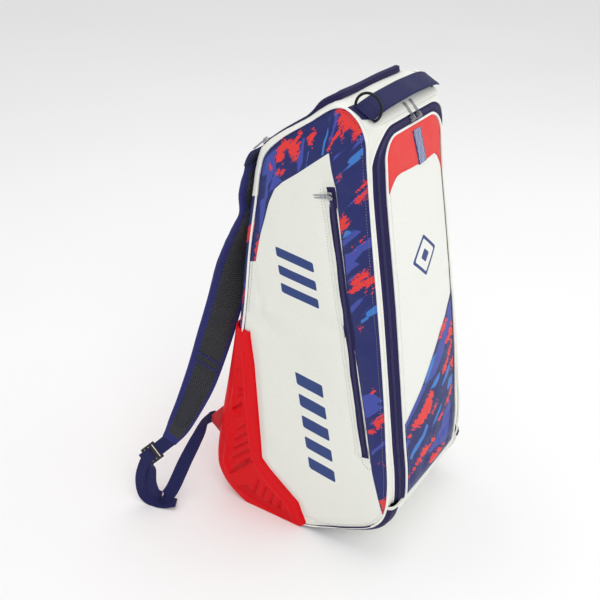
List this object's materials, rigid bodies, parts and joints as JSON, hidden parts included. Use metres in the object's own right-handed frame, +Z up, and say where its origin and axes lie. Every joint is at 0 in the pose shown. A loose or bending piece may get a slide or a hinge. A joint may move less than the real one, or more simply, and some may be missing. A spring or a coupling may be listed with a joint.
{
  "type": "racket backpack",
  "caption": "Stand-up racket backpack: tapered box bag on a moulded boot, hinged front lid, rear top flap, side zip pocket, padded shoulder straps and top carry handle.",
  "frame": {"origin": "on the floor at the middle of the boot's flat sole", "axes": "+Z up, the front lid faces -Y, the back and shoulder straps face +Y, the side pocket is on the -X side"},
  "size_m": [0.512, 0.472, 0.7929],
  "materials": {
    "side_leather": "white pebbled synthetic leather",
    "white_leather": "white pebbled synthetic leather",
    "white_piping": "white coated piping cord",
    "navy_zip_tape": "navy zip tape with a coil",
    "navy_webbing": "navy woven webbing",
    "black_mesh": "black air mesh over foam",
    "back_fabric": "dark woven fabric over foam",
    "lining": "plain lining cloth over thin foam",
    "stiffener": "plain sheet",
    "red_moulding": "red moulded elastomer, satin",
    "red_tab": "red moulded elastomer, satin",
    "red_leather": "red pebbled synthetic leather",
    "woven_label": "woven band, blue and white",
    "zip_metal": "polished zip metal",
    "black_metal": "black coated wire",
    "black_plastic": "black moulded plastic"
  },
  "bodies": {
    "bag": {"back_gusset_far": "white_leather", "back_gusset_near": "white_leather", "back_pad": "black_mesh", "back_panel": "back_fabric", "back_stiffener": "stiffener", "base_panel": "back_fabric", "base_stiffener": "stiffener", "body_zip_tape": "navy_zip_tape", "boot": "red_moulding", "boot_tab_far": "red_tab", "boot_tab_near": "red_tab", "bottom_gusset": "white_leather", "compartment_divider": "lining", "divider_pocket": "lining", "handle_base_far": "navy_webbing", "handle_base_near": "navy_webbing", "lower_back_gusset": "back_fabric", "pocket_zip_tape": "navy_zip_tape", "rear_gusset_far": "white_leather", "rear_gusset_near": "white_leather", "rear_zip_band": "navy_zip_tape", "rear_zip_tape_far": "navy_zip_tape", "rear_zip_tape_near": "navy_zip_tape", "side_panel_far": "side_leather", "side_panel_near": "side_leather", "side_piping_far": "white_piping", "side_piping_near": "white_piping", "side_pocket_bag": "lining", "strap_anchor_far": "navy_webbing", "strap_anchor_near": "navy_webbing", "top_gusset": "white_leather"},
    "lid": {"lid_panel": "white_leather", "lid_zip_tape": "navy_zip_tape", "lid_piping": "white_piping", "lid_patch_near": "red_leather", "lid_patch_far": "red_leather", "lid_label": "woven_label"},
    "lid_slider_near": {"lid_slider_near": "zip_metal"},
    "lid_puller_near": {"lid_puller_near": "zip_metal"},
    "lid_slider_far": {"lid_slider_far": "zip_metal"},
    "lid_puller_far": {"lid_puller_far": "zip_metal"},
    "rear_flap": {"rear_flap": "white_leather"},
    "rear_slider": {"rear_slider": "zip_metal"},
    "rear_puller": {"rear_puller": "zip_metal"},
    "pocket_slider": {"pocket_slider": "zip_metal"},
    "pocket_puller": {"pocket_puller": "zip_metal"},
    "handle": {"carry_handle": "navy_webbing"},
    "d_ring": {"d_ring": "black_metal"},
    "strap_near": {"shoulder_strap_near": "black_mesh", "strap_loop_near": "navy_webbing", "lower_webbing_near": "navy_webbing", "webbing_tail_near": "navy_webbing"},
    "buckle_near": {"ladder_lock_near": "black_plastic"},
    "strap_far": {"shoulder_strap_far": "black_mesh", "strap_loop_far": "navy_webbing", "lower_webbing_far": "navy_webbing", "webbing_tail_far": "navy_webbing"},
    "buckle_far": {"ladder_lock_far": "black_plastic"}
  },
  "joints": [
    {"name": "lid_hinge", "type": "hinge", "parent": "bag", "child": "lid", "pos_m": [0, -0.2355, 0.1105], "axis": [1, 0, 0], "range_deg": [0, 95]},
    {"name": "lid_slider_near_slide", "type": "slide", "parent": "lid", "child": "lid_slider_near", "axis": [-1, 0, 0], "range_m": [0, 0.04]},
    {"name": "lid_puller_near_flip", "type": "hinge", "parent": "lid_slider_near", "child": "lid_puller_near", "pos_m": [-0.007, -0.16646, 0.73603], "axis": [0.995, -0.0728, -0.0679], "range_deg": [0, 150]},
    {"name": "lid_slider_far_slide", "type": "slide", "parent": "lid", "child": "lid_slider_far", "axis": [1, 0, 0], "range_m": [0, 0.035]},
    {"name": "lid_puller_far_flip", "type": "hinge", "parent": "lid_slider_far", "child": "lid_puller_far", "pos_m": [0.012, -0.16646, 0.73603], "axis": [0.995, -0.0728, -0.0679], "range_deg": [0, 150]},
    {"name": "rear_flap_hinge", "type": "hinge", "parent": "bag", "child": "rear_flap", "pos_m": [0, 0.038, 0.673], "axis": [-1, 0, 0], "range_deg": [0, 105]},
    {"name": "rear_slider_slide", "type": "slide", "parent": "bag", "child": "rear_slider", "axis": [0.0298, -0.7313, 0.6815], "range_m": [0, 0.085]},
    {"name": "rear_puller_flip", "type": "hinge", "parent": "rear_slider", "child": "rear_puller", "pos_m": [-0.10038, 0.03177, 0.6928], "axis": [0.9996, 0.0222, -0.0199], "range_deg": [0, 150]},
    {"name": "pocket_slider_slide", "type": "slide", "parent": "bag", "child": "pocket_slider", "axis": [-0.0428, -0.1911, -0.9806], "range_m": [0, 0.42]},
    {"name": "pocket_puller_flip", "type": "hinge", "parent": "pocket_slider", "child": "pocket_puller", "pos_m": [-0.12259, -0.09503, 0.63625], "axis": [0.0428, 0.1911, 0.9806], "range_deg": [0, 150]},
    {"name": "handle_flop", "type": "hinge", "parent": "bag", "child": "handle", "pos_m": [0, -0.1375, 0.7625], "axis": [1, 0, 0], "range_deg": [0, 10]},
    {"name": "d_ring_swing", "type": "hinge", "parent": "handle", "child": "d_ring", "pos_m": [-0.099, -0.13637, 0.76056], "axis": [0, 0.8821, 0.4711], "range_deg": [-25, 40]},
    {"name": "strap_near_swing", "type": "hinge", "parent": "bag", "child": "strap_near", "pos_m": [-0.088, 0.058, 0.652], "axis": [1, 0, 0], "range_deg": [0, 16]},
    {"name": "buckle_near_tilt", "type": "hinge", "parent": "strap_near", "child": "buckle_near", "pos_m": [-0.22618, 0.19466, 0.11573], "axis": [0, -0.722, -0.6919], "range_deg": [-18, 18]},
    {"name": "strap_far_swing", "type": "hinge", "parent": "bag", "child": "strap_far", "pos_m": [0.088, 0.058, 0.652], "axis": [1, 0, 0], "range_deg": [0, 16]},
    {"name": "buckle_far_tilt", "type": "hinge", "parent": "strap_far", "child": "buckle_far", "pos_m": [0.22618, 0.19466, 0.11573], "axis": [0, -0.722, -0.6919], "range_deg": [-18, 18]}
  ]
}
